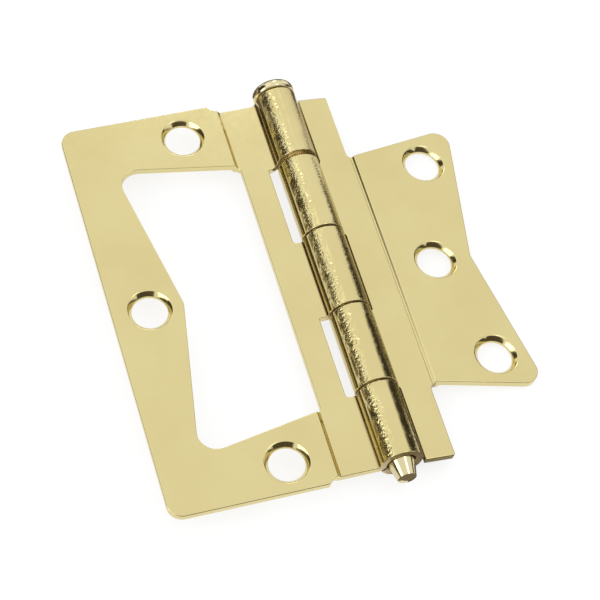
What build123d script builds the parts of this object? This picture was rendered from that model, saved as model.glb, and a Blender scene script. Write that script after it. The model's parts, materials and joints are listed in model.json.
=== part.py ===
from build123d import *
import os
from math import atan2, cos, degrees, radians, sin, sqrt, tan

os.makedirs("parts", exist_ok=True)

# Sizes are in millimetres and angles in degrees.
# A reach is measured across a leaf from the axis of the pin, a half length along the pin from mid-length.

# Sheet and rolled barrel, the same on both leaves
sheet = 1.55
barrel_radius = 4.25
strip_gap = 0.15
bend_radius = 0.6
seam_angle = 25.0
joggle_inner_round = 0.4
joggle_outer_round = 0.5
rest_droop = 7.29

# Pin
pin_clearance = 0.07
head_radius = 4.33
head_height = 2.1
head_top_round = 1.1
head_under_round = 0.6
head_crown = 0.3
head_standoff = 0.35
tip_length = 3.3
tip_taper = 12.8
tip_round = 0.15
tip_crown = 0.12

# Knuckles, with the head end's one walked toward the head as it was rolled
middle_knuckle_half = 8.9
end_knuckle_start = 27.1
strip_half = 43.1
knuckle_joint = 0.45
head_knuckle_walk = 0.7
walk_start_reach = 5.4
walk_end_reach = 3.8
walk_round = 1.0
mouth_chamfer = 0.35

# Outer leaf
outer_reach = 45.5
outer_length = 88.9
outer_corner = 3.0
outer_joggle_foot = 12.0
outer_joggle_top = 12.7
outer_notch_reach = 6.1
notch_corner = 0.7
notch_head_corner = 0.15
relief_reach = 12.3
relief_radius = 2.6
window_near_reach = 11.6
window_near_half = 28.87
window_far_reach = 37.0
window_far_half = 33.26
window_vee_reach = 31.08
window_near_corner = 1.0
window_far_corner = 3.7
vee_corner = 2.0

# Inner leaf
inner_joggle_foot = 11.85
inner_joggle_top = 12.35
inner_notch_reach = 5.0
inner_strip_reach = 11.1
inner_strip_corner = 0.4
inner_armpit = 1.2
inner_near_half = 27.08
inner_far_reach = 34.4
inner_far_half = 31.37
inner_vee_reach = 28.92
inner_corner = 3.0

# Countersunk screw holes
hole_radius = 3.55
countersink_radius = 4.42
countersink_angle = 82.0
outer_corner_hole_reach = 21.2
outer_corner_hole_half = 38.1
outer_middle_hole_reach = 37.9
inner_corner_hole_reach = 26.4
inner_corner_hole_half = 23.35
inner_middle_hole_reach = 21.3

bore_radius = barrel_radius - sheet
strip_front = -strip_gap / 2
strip_back = strip_front - sheet
overcut = barrel_radius + 2

# The origin is midway between the outer leaf's corner screws, on the back of its plate
pin_point = (outer_corner_hole_reach, 0, sheet / 2)
droop_cos = cos(radians(rest_droop))
droop_sin = sin(radians(rest_droop))
outer_outward = (-1, 0, 0)
inner_outward = (droop_cos, 0, -droop_sin)
inner_normal = (droop_sin, 0, droop_cos)


# Sheet seen from its end: knuckle curled over the front, reverse bend, strip, joggle and plate
def leaf_section(joggle_foot, joggle_top, reach):
    bend_height = strip_front + bend_radius
    bend_reach = sqrt((barrel_radius + bend_radius) ** 2 - bend_height**2)
    bend_angle = degrees(atan2(bend_height, bend_reach))
    curl = 360 - seam_angle - bend_angle
    tail = (cos(radians(seam_angle)), -sin(radians(seam_angle)))
    rise = sheet / 2 - strip_front
    back_shift = sheet * tan(atan2(rise, joggle_top - joggle_foot) / 2)
    with BuildSketch() as section:
        with BuildLine():
            CenterArc((0, 0), barrel_radius, bend_angle, curl)
            CenterArc((0, 0), bore_radius, bend_angle, curl)
            Line(
                (barrel_radius * tail[0], barrel_radius * tail[1]),
                (bore_radius * tail[0], bore_radius * tail[1]),
            )
            bend_centre = (bend_reach, bend_height)
            CenterArc(bend_centre, bend_radius, 180 + bend_angle, 90 - bend_angle)
            CenterArc(bend_centre, bend_radius + sheet, 180 + bend_angle, 90 - bend_angle)
            FilletPolyline(
                (bend_reach, strip_front),
                (joggle_foot, strip_front),
                (joggle_top, sheet / 2),
                (reach, sheet / 2),
                radius=[joggle_inner_round, joggle_outer_round],
            )
            Line((reach, sheet / 2), (reach, -sheet / 2))
            FilletPolyline(
                (reach, -sheet / 2),
                (joggle_top + back_shift, -sheet / 2),
                (joggle_foot + back_shift, strip_back),
                (bend_reach, strip_back),
                radius=[joggle_inner_round, joggle_outer_round],
            )
        make_face()
    return section.sketch


# Outer leaf: the window lets the folded inner leaf sink level with the plate
with BuildSketch() as window:
    with BuildLine():
        FilletPolyline(
            (window_near_reach, window_near_half),
            (window_far_reach, window_far_half),
            (window_vee_reach, 0),
            (window_far_reach, -window_far_half),
            (window_near_reach, -window_near_half),
            radius=[
                window_near_corner,
                window_far_corner,
                vee_corner,
                window_far_corner,
                window_near_corner,
            ],
            close=True,
        )
    make_face()

# Outer leaf's notch for a knuckle of the inner leaf, rounded at its tip end
with BuildSketch() as outer_notch:
    with BuildLine():
        notch_length = end_knuckle_start - middle_knuckle_half
        FilletPolyline(
            (-overcut, 0),
            (outer_notch_reach, 0),
            (outer_notch_reach, notch_length),
            (-overcut, notch_length),
            radius=[0, notch_corner, notch_head_corner, 0],
            close=True,
        )
    make_face()

# Sliver that the head end's knuckle gained at one end and lost at the other as it walked
with BuildSketch() as walk:
    with BuildLine():
        FilletPolyline(
            (outer_notch_reach, 0),
            (walk_start_reach, 0),
            (walk_end_reach, head_knuckle_walk),
            (-overcut, head_knuckle_walk),
            (-overcut, 0),
            radius=[0, walk_round, walk_round, 0, 0],
            close=True,
        )
    make_face()

# Outer leaf's outline, x across the leaf and y along the pin toward the head
with BuildSketch() as outer_outline:
    with Locations(((outer_reach - overcut) / 2, 0)):
        Rectangle(outer_reach + overcut, outer_length)
    fillet(outer_outline.vertices().sort_by(Axis.X)[-2:], outer_corner)
    relief_run = relief_reach + overcut
    relief_shift = relief_reach - relief_run / 2
    with Locations((relief_shift, strip_half + relief_radius), (relief_shift, -strip_half - relief_radius)):
        SlotCenterToCenter(relief_run, 2 * relief_radius, mode=Mode.SUBTRACT)
    with Locations((0, middle_knuckle_half), (0, -end_knuckle_start)):
        add(outer_notch.sketch, mode=Mode.SUBTRACT)
    add(window.sketch, mode=Mode.SUBTRACT)
    with Locations((0, strip_half)):
        add(walk.sketch)
    with Locations((0, end_knuckle_start)):
        add(walk.sketch, mode=Mode.SUBTRACT)

with BuildPart() as outer_leaf:
    with BuildSketch(Plane(pin_point, x_dir=outer_outward, z_dir=(0, 1, 0))):
        add(leaf_section(outer_joggle_foot, outer_joggle_top, outer_reach))
    extrude(amount=outer_length / 2, both=True)
    with BuildSketch(Plane(pin_point, x_dir=outer_outward, z_dir=(0, 0, -1))):
        add(outer_outline.sketch)
    extrude(amount=overcut, both=True, mode=Mode.INTERSECT)
    outer_front = Plane(pin_point, x_dir=outer_outward, z_dir=(0, 0, 1)).offset(sheet / 2)
    with Locations(outer_front):
        with Locations(
            (outer_corner_hole_reach, outer_corner_hole_half),
            (outer_corner_hole_reach, -outer_corner_hole_half),
            (outer_middle_hole_reach, 0),
        ):
            CounterSinkHole(hole_radius, countersink_radius, counter_sink_angle=countersink_angle)
    head_mouth = Plane((pin_point[0], strip_half + head_knuckle_walk, pin_point[2]), z_dir=(0, -1, 0))
    tip_mouth = Plane((pin_point[0], -strip_half, pin_point[2]), z_dir=(0, 1, 0))
    with Locations(head_mouth, tip_mouth):
        Cone(
            bore_radius + mouth_chamfer,
            bore_radius,
            mouth_chamfer,
            align=(Align.CENTER, Align.CENTER, Align.MIN),
            mode=Mode.SUBTRACT,
        )

# Inner leaf's outline, x across the leaf and y along the pin toward the head
with BuildSketch() as inner_outline:
    with BuildLine():
        FilletPolyline(
            (-overcut, strip_half),
            (inner_strip_reach, strip_half),
            (inner_strip_reach, inner_near_half),
            (inner_far_reach, inner_far_half),
            (inner_vee_reach, 0),
            (inner_far_reach, -inner_far_half),
            (inner_strip_reach, -inner_near_half),
            (inner_strip_reach, -strip_half),
            (-overcut, -strip_half),
            radius=[
                0,
                inner_strip_corner,
                inner_armpit,
                inner_corner,
                vee_corner,
                inner_corner,
                inner_armpit,
                inner_strip_corner,
                0,
            ],
            close=True,
        )
    make_face()
    notch_run = inner_notch_reach + overcut
    notch_shift = inner_notch_reach - notch_run / 2
    knuckle_near = middle_knuckle_half + knuckle_joint
    knuckle_far = end_knuckle_start - knuckle_joint
    end_run = strip_half + 2 * notch_corner - knuckle_far
    end_middle = knuckle_far + end_run / 2
    with Locations((notch_shift, 0)):
        RectangleRounded(notch_run, 2 * knuckle_near, notch_corner, mode=Mode.SUBTRACT)
    with Locations((notch_shift, end_middle), (notch_shift, -end_middle)):
        RectangleRounded(notch_run, end_run, notch_corner, mode=Mode.SUBTRACT)

with BuildPart() as inner_leaf:
    with BuildSketch(Plane(pin_point, x_dir=inner_outward, z_dir=(0, -1, 0))):
        add(leaf_section(inner_joggle_foot, inner_joggle_top, inner_far_reach))
    extrude(amount=strip_half, both=True)
    inner_middle = Plane(pin_point, x_dir=inner_outward, z_dir=inner_normal)
    with BuildSketch(inner_middle):
        add(inner_outline.sketch)
    extrude(amount=overcut, both=True, mode=Mode.INTERSECT)
    with Locations(inner_middle.offset(sheet / 2)):
        with Locations(
            (inner_corner_hole_reach, inner_corner_hole_half),
            (inner_corner_hole_reach, -inner_corner_hole_half),
            (inner_middle_hole_reach, 0),
        ):
            CounterSinkHole(hole_radius, countersink_radius, counter_sink_angle=countersink_angle)

# Pin: button head over the walked knuckle, shank in the bore, tapered tip out of the other end
with BuildPart() as hinge_pin:
    pin_radius = bore_radius - pin_clearance
    head_under = strip_half + head_knuckle_walk + head_standoff
    head_top = head_under + head_height
    taper_start = -strip_half
    tip_end = taper_start - tip_length
    tip_radius = pin_radius - tip_length * tan(radians(tip_taper))
    with BuildSketch(Plane(pin_point)) as pin_profile:
        with BuildLine():
            tip_face = ThreePointArc(
                (-tip_radius, tip_end),
                (0, tip_end - tip_crown),
                (tip_radius, tip_end),
            )
            Polyline(
                tip_face @ 1,
                (pin_radius, taper_start),
                (pin_radius, head_under),
                (head_radius, head_under),
                (head_radius, head_top),
            )
            head_face = ThreePointArc(
                (head_radius, head_top),
                (0, head_top + head_crown),
                (-head_radius, head_top),
            )
            Polyline(
                head_face @ 1,
                (-head_radius, head_under),
                (-pin_radius, head_under),
                (-pin_radius, taper_start),
                tip_face @ 0,
            )
        make_face()
        corners = pin_profile.vertices()
        fillet(corners.filter_by_position(Axis.Y, head_top - 0.01, head_top + 0.01), head_top_round)
        fillet(corners.filter_by_position(Axis.Y, tip_end - 0.01, tip_end + 0.01), tip_round)
        under = pin_profile.vertices().filter_by_position(Axis.Y, head_under - 0.01, head_under + 0.01)
        fillet(under.filter_by(lambda v: abs(v.X) > pin_radius + 0.01), head_under_round)
        split(bisect_by=Plane.YZ, keep=Keep.TOP)
    revolve(axis=Axis(pin_point, (0, 1, 0)))

outer_leaf.part.label = "outer_leaf"
inner_leaf.part.label = "inner_leaf"
hinge_pin.part.label = "hinge_pin"

export_step(outer_leaf.part, "parts/outer_leaf.step")
export_step(inner_leaf.part, "parts/inner_leaf.step")
export_step(hinge_pin.part, "parts/hinge_pin.step")
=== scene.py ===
import json
import math
import bmesh
import bpy
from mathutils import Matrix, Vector


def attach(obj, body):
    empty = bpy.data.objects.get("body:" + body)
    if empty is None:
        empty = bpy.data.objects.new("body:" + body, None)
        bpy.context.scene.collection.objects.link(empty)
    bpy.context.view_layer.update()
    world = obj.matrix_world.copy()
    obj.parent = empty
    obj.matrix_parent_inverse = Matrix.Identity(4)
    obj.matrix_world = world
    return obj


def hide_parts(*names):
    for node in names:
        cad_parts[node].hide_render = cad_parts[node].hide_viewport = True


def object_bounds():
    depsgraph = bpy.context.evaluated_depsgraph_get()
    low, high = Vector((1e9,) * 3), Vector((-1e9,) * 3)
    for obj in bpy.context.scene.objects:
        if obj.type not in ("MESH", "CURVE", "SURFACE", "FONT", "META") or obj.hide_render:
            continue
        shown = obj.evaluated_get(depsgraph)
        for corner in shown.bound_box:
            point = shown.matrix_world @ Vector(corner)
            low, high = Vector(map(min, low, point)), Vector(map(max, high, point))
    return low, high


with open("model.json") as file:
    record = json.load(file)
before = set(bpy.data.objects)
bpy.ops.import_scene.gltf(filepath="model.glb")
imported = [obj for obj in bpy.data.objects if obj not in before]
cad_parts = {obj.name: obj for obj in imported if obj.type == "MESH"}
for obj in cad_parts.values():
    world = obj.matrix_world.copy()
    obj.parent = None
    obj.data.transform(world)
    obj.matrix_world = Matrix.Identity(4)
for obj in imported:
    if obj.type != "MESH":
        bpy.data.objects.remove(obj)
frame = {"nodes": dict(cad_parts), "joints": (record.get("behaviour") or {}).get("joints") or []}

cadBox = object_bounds()
pinPlace = next(j for j in frame["joints"] if j["name"] == "leaf_swing")["pos_m"]
print("frame loaded")


def feed(tree, node, inputs):
    for name, value in inputs.items():
        if isinstance(value, bpy.types.NodeSocket):
            tree.links.new(value, node.inputs[name])
        else:
            node.inputs[name].default_value = value


def addNode(tree, kind, inputs=None, **settings):
    node = tree.nodes.new(kind)
    for name, value in settings.items():
        setattr(node, name, value)
    feed(tree, node, inputs or {})
    return node


def mathNode(tree, operation, first, second=0.0):
    return addNode(tree, "ShaderNodeMath", {0: first, 1: second}, operation=operation).outputs[0]


def ramp(tree, value, low, high, result=(0.0, 1.0), smooth=True):
    inputs = {"Value": value, "From Min": low, "From Max": high, "To Min": result[0], "To Max": result[1]}
    kind = "SMOOTHSTEP" if smooth else "LINEAR"
    return addNode(tree, "ShaderNodeMapRange", inputs, interpolation_type=kind).outputs["Result"]


def noise(tree, place, scale, detail=2.0, roughness=0.5):
    inputs = {"Vector": place, "Scale": scale, "Detail": detail, "Roughness": roughness}
    return addNode(tree, "ShaderNodeTexNoise", inputs).outputs["Fac"]


def mixColors(tree, share, first, second):
    inputs = {"Factor": share, 6: first, 7: second}  # 6 and 7 are the colours, and output 2 is their mix
    return addNode(tree, "ShaderNodeMix", inputs, data_type="RGBA").outputs[2]


def bump(tree, height, depth, under=None):
    inputs = {"Height": height, "Distance": depth}
    if under is not None:
        inputs["Normal"] = under
    return addNode(tree, "ShaderNodeBump", inputs).outputs["Normal"]


def startGroup(name, inputs, outputs):
    group = bpy.data.node_groups.new(name, "ShaderNodeTree")
    for direction, sockets in (("INPUT", inputs), ("OUTPUT", outputs)):
        for socketName, kind in sockets.items():
            group.interface.new_socket(socketName, in_out=direction, socket_type="NodeSocket" + kind)
    return group, addNode(group, "NodeGroupInput").outputs


def startMaterial(name):
    material = bpy.data.materials.new(name)
    material.use_nodes = True
    tree = material.node_tree
    return material, tree, tree.nodes["Principled BSDF"]


def makeObject(name, shape, material):
    mesh = bpy.data.meshes.new(name)
    shape.to_mesh(mesh)
    shape.free()
    mesh.materials.append(material)
    made = bpy.data.objects.new(name, mesh)
    bpy.context.scene.collection.objects.link(made)
    return made


# What curling did to the sheet. Orange peel is left where it stretched, strongest in one band along the
# barrel. The barrel's flanks also get painted shade: brown that stands for their darker reflections
grainAndShade = {
    "rise": (-56.0, -32.0),       # degrees round the pin from straight up, minus toward the outer leaf
    "fall": (-26.0, -12.0),
    "farSide": (18.0, 40.0),      # the weaker band on the other side
    "farShare": 0.35,
    "outerShadedFlank": (-60.0, -88.0),  # past these angles the skin is painted browner, a painted shade for the flanks' darker reflections
    "innerShadedFlank": (14.0, 56.0),
    "wander": 5.0,                # degrees that the bands' limits stray either way
    "wanderScale": 350.0,
    "wanderRange": (0.3, 0.7),
    "barrelEnd": (0.0046, 0.0048),  # metres from the pin's axis
    "fineScale": 1900.0,
    "fineDetail": 3.0,
    "coarseScale": 800.0,
    "coarseShare": 0.6,
    "endFace": (0.6, 0.9),        # how squarely a knuckle's sheared end faces along the pin
}


def makeGrainAndShadeGroup():
    group, given = startGroup(
        "curledGrainAndShade",
        {"Vector": "Vector", "StepFoot": "Float", "StepTop": "Float"},
        {"Height": "Float", "Step": "Float", "OuterShadedFlank": "Float", "InnerShadedFlank": "Float", "Sheared": "Float"},
    )
    place = given["Vector"]
    parts = addNode(group, "ShaderNodeSeparateXYZ", {"Vector": place}).outputs
    across = mathNode(group, "SUBTRACT", parts["X"], pinPlace[0])
    up = mathNode(group, "SUBTRACT", parts["Z"], pinPlace[2])
    squares = [mathNode(group, "MULTIPLY", part, part) for part in (across, up)]
    reach = mathNode(group, "SQRT", mathNode(group, "ADD", *squares))
    onBarrel = ramp(group, reach, *grainAndShade["barrelEnd"], (1.0, 0.0))

    angle = mathNode(group, "DEGREES", mathNode(group, "ARCTAN2", across, up))
    stray = noise(group, place, grainAndShade["wanderScale"])
    stray = ramp(group, stray, *grainAndShade["wanderRange"], (-grainAndShade["wander"], grainAndShade["wander"]), smooth=False)
    angle = mathNode(group, "ADD", angle, stray)
    rise = ramp(group, angle, *grainAndShade["rise"])
    fall = ramp(group, angle, *grainAndShade["fall"], (1.0, 0.0))
    farSide = ramp(group, angle, *grainAndShade["farSide"], (0.0, grainAndShade["farShare"]))
    band = mathNode(group, "MAXIMUM", mathNode(group, "MULTIPLY", rise, fall), farSide)

    fine = noise(group, place, grainAndShade["fineScale"], grainAndShade["fineDetail"])
    coarse = mathNode(group, "MULTIPLY", noise(group, place, grainAndShade["coarseScale"]), grainAndShade["coarseShare"])
    peel = mathNode(group, "MULTIPLY", mathNode(group, "ADD", fine, coarse), band)
    # masks of painted shade on the barrel's two flanks
    outerShadedFlank, innerShadedFlank = [
        mathNode(group, "MULTIPLY", ramp(group, angle, *grainAndShade[side]), onBarrel)
        for side in ("outerShadedFlank", "innerShadedFlank")
    ]
    facing = addNode(group, "ShaderNodeTexCoord").outputs["Normal"]
    alongPin = addNode(group, "ShaderNodeSeparateXYZ", {"Vector": facing}).outputs["Y"]
    endFace = ramp(group, mathNode(group, "ABSOLUTE", alongPin), *grainAndShade["endFace"])
    addNode(group, "NodeGroupOutput", {
        "Height": mathNode(group, "MULTIPLY", peel, onBarrel),
        "Step": ramp(group, reach, given["StepFoot"], given["StepTop"], (0.0, -1.0)),
        "OuterShadedFlank": outerShadedFlank,
        "InnerShadedFlank": innerShadedFlank,
        "Sheared": mathNode(group, "MULTIPLY", endFace, onBarrel),
    })
    return group


# Slow waviness, faint clouding and uneven haze of rolled and plated sheet
plating = {
    "clouds": (60.0, 4.0, 0.55),  # the noise's scale, detail and roughness
    "cloudRange": (0.3, 0.7),
    "mist": (700.0, 3.0, 0.6),
    "mistRange": (0.25, 0.75),
    "haze": (-0.02, 0.03),        # what the mist adds to the polish
}


def makePlatingGroup():
    group, given = startGroup(
        "platedSheet",
        {"Vector": "Vector", "Light": "Color", "Deep": "Color", "Polish": "Float"},
        {"Color": "Color", "Roughness": "Float", "Height": "Float"},
    )
    clouds = noise(group, given["Vector"], *plating["clouds"])
    mist = noise(group, given["Vector"], *plating["mist"])
    haze = ramp(group, mist, *plating["mistRange"], plating["haze"], smooth=False)
    addNode(group, "NodeGroupOutput", {
        "Color": mixColors(group, ramp(group, clouds, *plating["cloudRange"]), given["Light"], given["Deep"]),
        "Roughness": mathNode(group, "ADD", given["Polish"], haze),
        "Height": clouds,
    })
    return group


grainAndShadeGroup = makeGrainAndShadeGroup()
platingGroup = makePlatingGroup()
print("shared effects made")


def addPlating(tree, place, finish):
    inputs = {"Vector": place, "Light": finish["light"], "Deep": finish["deep"], "Polish": finish["polish"]}
    return addNode(tree, "ShaderNodeGroup", inputs, node_tree=platingGroup).outputs


leafFinish = {
    "light": (0.735, 0.640, 0.318, 1.0),
    "deep": (0.700, 0.600, 0.285, 1.0),
    "paintedShadeBrown": (0.40, 0.29, 0.145, 1.0),
    "sheared": (0.72, 0.60, 0.36, 1.0),
    "polish": 0.13,
    "shearedHaze": 0.25,
    "waveDepth": 0.00002,   # metres
    "grainDepth": 0.0002,
    "outer_leaf": {
        "paintedShadeShares": (0.8, 0.7),  # painted shade: how strongly brown is painted on the barrel's flank by the outer leaf, and by the inner one
        "joggle": (0.0117, 0.0129),  # where its shading eases, in metres from the pin
        "joggleDepth": 0.0001,
    },
    "inner_leaf": {
        "paintedShadeShares": (0.35, 0.35),
        "joggle": (0.0115, 0.0127),
        "joggleDepth": 0.0005,
    },
}


def makeLeafMaterial(name, nodeName):
    own = leafFinish[nodeName]
    material, tree, shader = startMaterial(name)
    place = addNode(tree, "ShaderNodeTexCoord").outputs["Object"]
    sheet = addPlating(tree, place, leafFinish)
    foot, top = own["joggle"]
    curlInputs = {"Vector": place, "StepFoot": foot, "StepTop": top}
    curlAndShade = addNode(tree, "ShaderNodeGroup", curlInputs, node_tree=grainAndShadeGroup).outputs

    # Painted shade: the barrel's flanks are browned in the base colour to stand for the darker reflections
    # they show
    outerPaintedShade = mathNode(tree, "MULTIPLY", curlAndShade["OuterShadedFlank"], own["paintedShadeShares"][0])
    innerPaintedShade = mathNode(tree, "MULTIPLY", curlAndShade["InnerShadedFlank"], own["paintedShadeShares"][1])
    paintedShadeBrown = mathNode(tree, "ADD", outerPaintedShade, innerPaintedShade)
    skinWithPaintedShade = mixColors(tree, paintedShadeBrown, sheet["Color"], leafFinish["paintedShadeBrown"])
    haze = mathNode(tree, "MULTIPLY", curlAndShade["Sheared"], leafFinish["shearedHaze"])
    wave = bump(tree, sheet["Height"], leafFinish["waveDepth"])
    eased = bump(tree, curlAndShade["Step"], own["joggleDepth"], wave)
    feed(tree, shader, {
        "Base Color": mixColors(tree, curlAndShade["Sheared"], skinWithPaintedShade, leafFinish["sheared"]),
        "Metallic": 1.0,
        "Roughness": mathNode(tree, "ADD", sheet["Roughness"], haze),
        "Normal": bump(tree, curlAndShade["Height"], leafFinish["grainDepth"], eased),
    })
    return material


pinFinish = {
    "light": (0.790, 0.705, 0.450, 1.0),
    "deep": (0.730, 0.640, 0.380, 1.0),
    "polish": 0.11,
    "turningScale": (40.0, 4000.0, 40.0),  # the marks run round the pin, close together along it
    "turningDepth": 0.000004,
}


def makePinMaterial(name):
    material, tree, shader = startMaterial(name)
    place = addNode(tree, "ShaderNodeTexCoord").outputs["Object"]
    sheet = addPlating(tree, place, pinFinish)
    stretched = addNode(tree, "ShaderNodeMapping", {"Vector": place, "Scale": pinFinish["turningScale"]})
    marks = noise(tree, stretched.outputs["Vector"], 1.0)
    feed(tree, shader, {
        "Base Color": sheet["Color"],
        "Metallic": 1.0,
        "Roughness": sheet["Roughness"],
        "Normal": bump(tree, marks, pinFinish["turningDepth"]),
    })
    return material


pinBrass = makePinMaterial("pinBrass")
for slot in frame["nodes"]["hinge_pin"].material_slots:
    slot.material = pinBrass
print("pin finished")

# Cut edges worn soft, as tumbling leaves them before the plating: rounded copies stand for the two leaves
softEdges = {
    "copies": {"outerLeafPlated": "outer_leaf", "innerLeafPlated": "inner_leaf"},
    "width": 0.00016,       # metres taken off each side of an edge
    "steps": 3,
    "room": 0.00025,        # a step of the outline beside a corner is merged into it below this length
    "edgeFrom": 60.0,       # degrees between the two faces of a cut edge
    "rimFrom": 35.0,        # and of a countersink's rim
    "flatTo": 0.5,          # below this bend the CAD's triangles become one face
    "weld": 0.000001,       # metres between the triangles' corners that are one point
    "barrelReach": 0.005,   # the rims inside the barrel's mouths stay as they are
}


def cutEdges(shape):
    cuts = []
    for edge in shape.edges:
        bend = math.degrees(edge.calc_face_angle(0.0))
        middle = (edge.verts[0].co + edge.verts[1].co) / 2
        reach = math.hypot(middle.x - pinPlace[0], middle.z - pinPlace[2])
        rim = bend > softEdges["rimFrom"] and reach > softEdges["barrelReach"]
        if rim or bend > softEdges["edgeFrom"]:
            cuts.append(edge)
    return cuts


def mergeShortSteps(shape):
    while True:
        cuts = cutEdges(shape)
        meeting = {}
        for edge in cuts:
            for vert in edge.verts:
                meeting[vert] = meeting.get(vert, 0) + 1
        short = [
            edge for edge in cuts
            if edge.calc_length() < softEdges["room"] and max(meeting[vert] for vert in edge.verts) > 2
        ]
        if not short:
            return cuts
        step = min(short, key=lambda edge: edge.calc_length())
        corner = max(step.verts, key=lambda vert: meeting[vert])
        bmesh.ops.pointmerge(shape, verts=list(step.verts), merge_co=corner.co.copy())


def makeSoftLeaf(name, nodeName):
    shape = bmesh.new()
    shape.from_mesh(frame["nodes"][nodeName].data)
    bmesh.ops.remove_doubles(shape, verts=shape.verts, dist=softEdges["weld"])
    bmesh.ops.dissolve_limit(
        shape, angle_limit=math.radians(softEdges["flatTo"]), verts=shape.verts, edges=shape.edges
    )
    cuts = mergeShortSteps(shape)
    bmesh.ops.bevel(
        shape, geom=cuts, affect="EDGES", offset=softEdges["width"], offset_type="OFFSET",
        segments=softEdges["steps"], profile=0.5, material=-1,
    )
    for face in shape.faces:
        face.smooth = True
    for edge in shape.edges:
        edge.smooth = True
    leaf = makeObject(name, shape, makeLeafMaterial(name + "Brass", nodeName))
    leaf.data.attributes.remove(leaf.data.attributes["custom_normal"])  # they were the CAD mesh's own
    level = leaf.modifiers.new("level", "WEIGHTED_NORMAL")  # keeps the flats flat beside their rounded edges
    level.mode = "FACE_AREA"
    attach(leaf, nodeName)
    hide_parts(nodeName)
    print("finished", name, len(leaf.data.polygons), "faces")


for copyName, nodeName in softEdges["copies"].items():
    makeSoftLeaf(copyName, nodeName)

table = {
    "gap": 0.0001,          # metres between the table and the hinge's lowest point
    "size": 8.0,            # metres across
    "color": (0.22, 0.22, 0.22, 1.0),
    "roughness": 0.9,
    "glow": 0.80,           # lifts the pale table to white and leaves the hinge its shadow
}


def makeTable():
    material, tree, shader = startMaterial("tableWhite")
    rays = addNode(tree, "ShaderNodeLightPath").outputs
    seen = mathNode(tree, "MAXIMUM", rays["Is Camera Ray"], rays["Is Glossy Ray"])
    seen = mathNode(tree, "MAXIMUM", seen, rays["Is Transmission Ray"])
    feed(tree, shader, {
        "Base Color": table["color"],
        "Roughness": table["roughness"],
        "Specular IOR Level": 0.0,
        "Emission Color": (1.0, 1.0, 1.0, 1.0),
        "Emission Strength": mathNode(tree, "MULTIPLY", seen, table["glow"]),
    })
    shape = bmesh.new()
    bmesh.ops.create_grid(shape, x_segments=1, y_segments=1, size=table["size"] / 2)
    bmesh.ops.translate(shape, verts=shape.verts, vec=(0, 0, cadBox[0][2] - table["gap"]))
    makeObject("table", shape, material)


makeTable()
print("table laid")

# A white tent with dark cards, which the curled knuckles and the countersinks show as their dark bands
studio = {
    "tent": 1.0,
    # corners, colour, and the edge that fades: its height, its drop per metre along the pin and its width
    "standing": {
        "outerCard": (
            ((-0.30, 0.03, -0.004), (-0.30, 0.46, -0.004), (-0.30, 0.46, 0.46), (-0.30, 0.03, 0.30)),
            (0.08, 0.07, 0.055, 1.0), (0.105, -0.75, 0.10),
        ),
        "lowCard": (
            ((-0.28, -0.25, -0.004), (-0.28, 0.03, -0.004), (-0.28, 0.03, 0.085), (-0.28, -0.25, 0.085)),
            (0.10, 0.085, 0.07, 1.0), (0.09, 0.0, 0.01),
        ),
        "innerCard": (
            ((0.20, 0.02, -0.002), (0.20, 0.17, -0.002), (0.20, 0.17, 0.02), (0.20, 0.02, 0.31)),
            (0.06, 0.05, 0.04, 1.0), (0.318, 2.25, 0.12),
        ),
        "frontCard": (
            ((-0.20, -0.30, -0.004), (0.30, -0.30, -0.004), (0.30, -0.30, 0.30), (-0.20, -0.30, 0.30)),
            (0.12, 0.10, 0.08, 1.0), (0.265, 0.0, 0.05),
        ),
        "sideCard": (
            ((0.30, -0.30, -0.004), (0.30, 0.02, -0.004), (0.30, 0.02, 0.10), (0.30, -0.30, 0.10)),
            (0.10, 0.085, 0.07, 1.0), (0.08, 0.0, 0.03),
        ),
        "backCard": (
            ((-0.12, 0.45, -0.004), (0.34, 0.45, -0.004), (0.34, 0.45, 0.17), (-0.12, 0.45, 0.17)),
            (0.12, 0.10, 0.08, 1.0), (0.13, 0.0, 0.06),
        ),
    },
    # corners seen from above, height and colour
    "lying": {
        "outerTableCard": (
            ((-0.28, -0.02), (-0.032, -0.04), (-0.032, 0.12), (-0.28, 0.30)),
            -0.0041, (0.34, 0.29, 0.24, 1.0),
        ),
        "innerTableCard": (
            ((0.060, -0.03), (0.198, 0.02), (0.198, 0.133), (0.060, 0.045)),
            -0.0041, (0.06, 0.05, 0.04, 1.0),
        ),
        "frontTableCard": (
            ((-0.20, -0.298), (0.30, -0.298), (0.30, -0.0485), (-0.20, -0.0485)),
            -0.0041, (0.20, 0.17, 0.14, 1.0),
        ),
        # painted shadow: a dark sheet where the tip and the strip shade the table, seen only in reflections
        "tipShadowCard": (
            ((0.0225, -0.0485), (0.060, -0.0485), (0.060, -0.040), (0.0225, -0.040)),
            -0.0042, (0.16, 0.13, 0.10, 1.0),
        ),
        # painted shadow: a dark sheet where the head shades the table, seen only in reflections
        "headShadowCard": (
            ((-0.02, 0.0485), (0.060, 0.0485), (0.070, 0.12), (-0.02, 0.12)),
            -0.0042, (0.16, 0.13, 0.10, 1.0),
        ),
        "underCard": (      # the table in the shadow of the barrel, without its glow
            ((0.0188, -0.0465), (0.0335, -0.0465), (0.0335, 0.0465), (0.0188, 0.0465)),
            -0.0042, (0.80, 0.80, 0.80, 1.0),
        ),
    },
    # place, what it faces, size, and its glow, where 1 is as bright as the tent
    "boxes": {
        "sideBox": ((-0.33, -0.07, 0.21), (0.02, 0.0, 0.0), (0.36, 0.18), 1.9),
        "topBox": ((-0.21, 0.27, 0.42), (0.02, 0.0, 0.0), (0.36, 0.26), 0.22),
        "headBox": ((0.12, 0.385, 0.343), (0.021, 0.045, 0.003), (0.12, 0.10), 3.0),
        "tipBox": ((0.20, -0.02, 0.45), (0.021, -0.045, 0.0), (0.12, 0.12), 2.5),
    },
}


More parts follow.
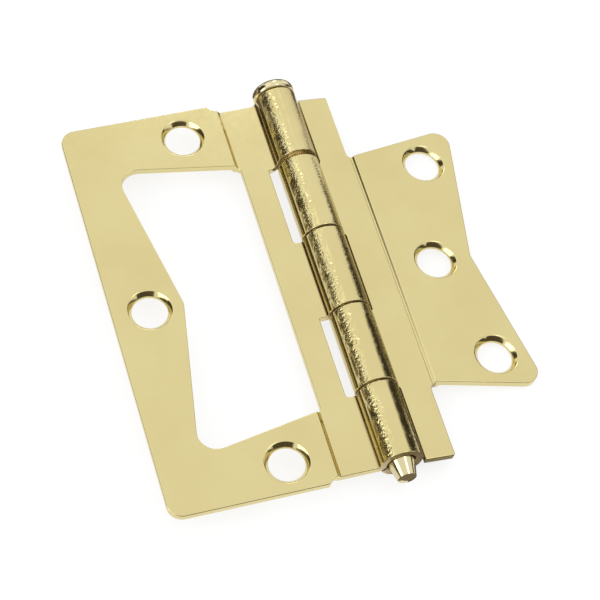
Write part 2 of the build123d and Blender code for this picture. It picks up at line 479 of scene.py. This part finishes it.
def makeCard(name, corners, color, fade=None):
    material, tree, shader = startMaterial(name)
    feed(tree, shader, {"Base Color": color, "Roughness": 1.0, "Specular IOR Level": 0.0})
    if fade:
        height, drop, width = fade
        place = addNode(tree, "ShaderNodeTexCoord").outputs["Object"]
        parts = addNode(tree, "ShaderNodeSeparateXYZ", {"Vector": place}).outputs
        level = mathNode(tree, "ADD", parts["Z"], mathNode(tree, "MULTIPLY", parts["Y"], drop))
        shown = ramp(tree, level, height - width / 2, height + width / 2, (1.0, 0.0))
        feed(tree, shader, {"Alpha": shown})

    shape = bmesh.new()
    shape.faces.new([shape.verts.new(corner) for corner in corners])
    card = makeObject(name, shape, material)
    card.visible_camera = False
    card.visible_shadow = False
    card.visible_diffuse = False


def makeBox(name, place, toward, size, glow):
    data = bpy.data.lights.new(name, "AREA")
    data.shape = "RECTANGLE"
    data.size, data.size_y = size
    data.energy = glow * math.pi * size[0] * size[1]
    lamp = bpy.data.objects.new(name, data)
    bpy.context.scene.collection.objects.link(lamp)
    lamp.location = place
    lamp.rotation_euler = (Vector(toward) - Vector(place)).to_track_quat("-Z", "Y").to_euler()
    lamp.visible_camera = False


def makeStudio():
    world = bpy.data.worlds.new("studio")
    bpy.context.scene.world = world
    world.use_nodes = True
    background = world.node_tree.nodes["Background"]
    background.inputs["Color"].default_value = (1.0, 1.0, 1.0, 1.0)
    background.inputs["Strength"].default_value = studio["tent"]
    for name, (corners, color, fade) in studio["standing"].items():
        makeCard(name, corners, color, fade)
    for name, (corners, height, color) in studio["lying"].items():
        makeCard(name, [(*corner, height) for corner in corners], color)
    for name, values in studio["boxes"].items():
        makeBox(name, *values)


makeStudio()
print("studio lit")

camera = {
    "place": (-0.088708, -0.220926, 0.382316),
    "turn": (31.6947, -5.3785, -16.4029),  # degrees
    "focal": 138.0083,      # millimetres, as the sensor's width
    "sensor": 36.0,
    "clip": (0.01, 10.0),
}


def makeCamera():
    data = bpy.data.cameras.new("camera")
    data.sensor_width = camera["sensor"]
    data.lens = camera["focal"]
    data.clip_start, data.clip_end = camera["clip"]
    eye = bpy.data.objects.new("camera", data)
    bpy.context.scene.collection.objects.link(eye)
    eye.location = camera["place"]
    eye.rotation_euler = [math.radians(angle) for angle in camera["turn"]]
    bpy.context.scene.camera = eye


makeCamera()
bpy.context.scene.view_settings.view_transform = "Standard"
print("camera set")
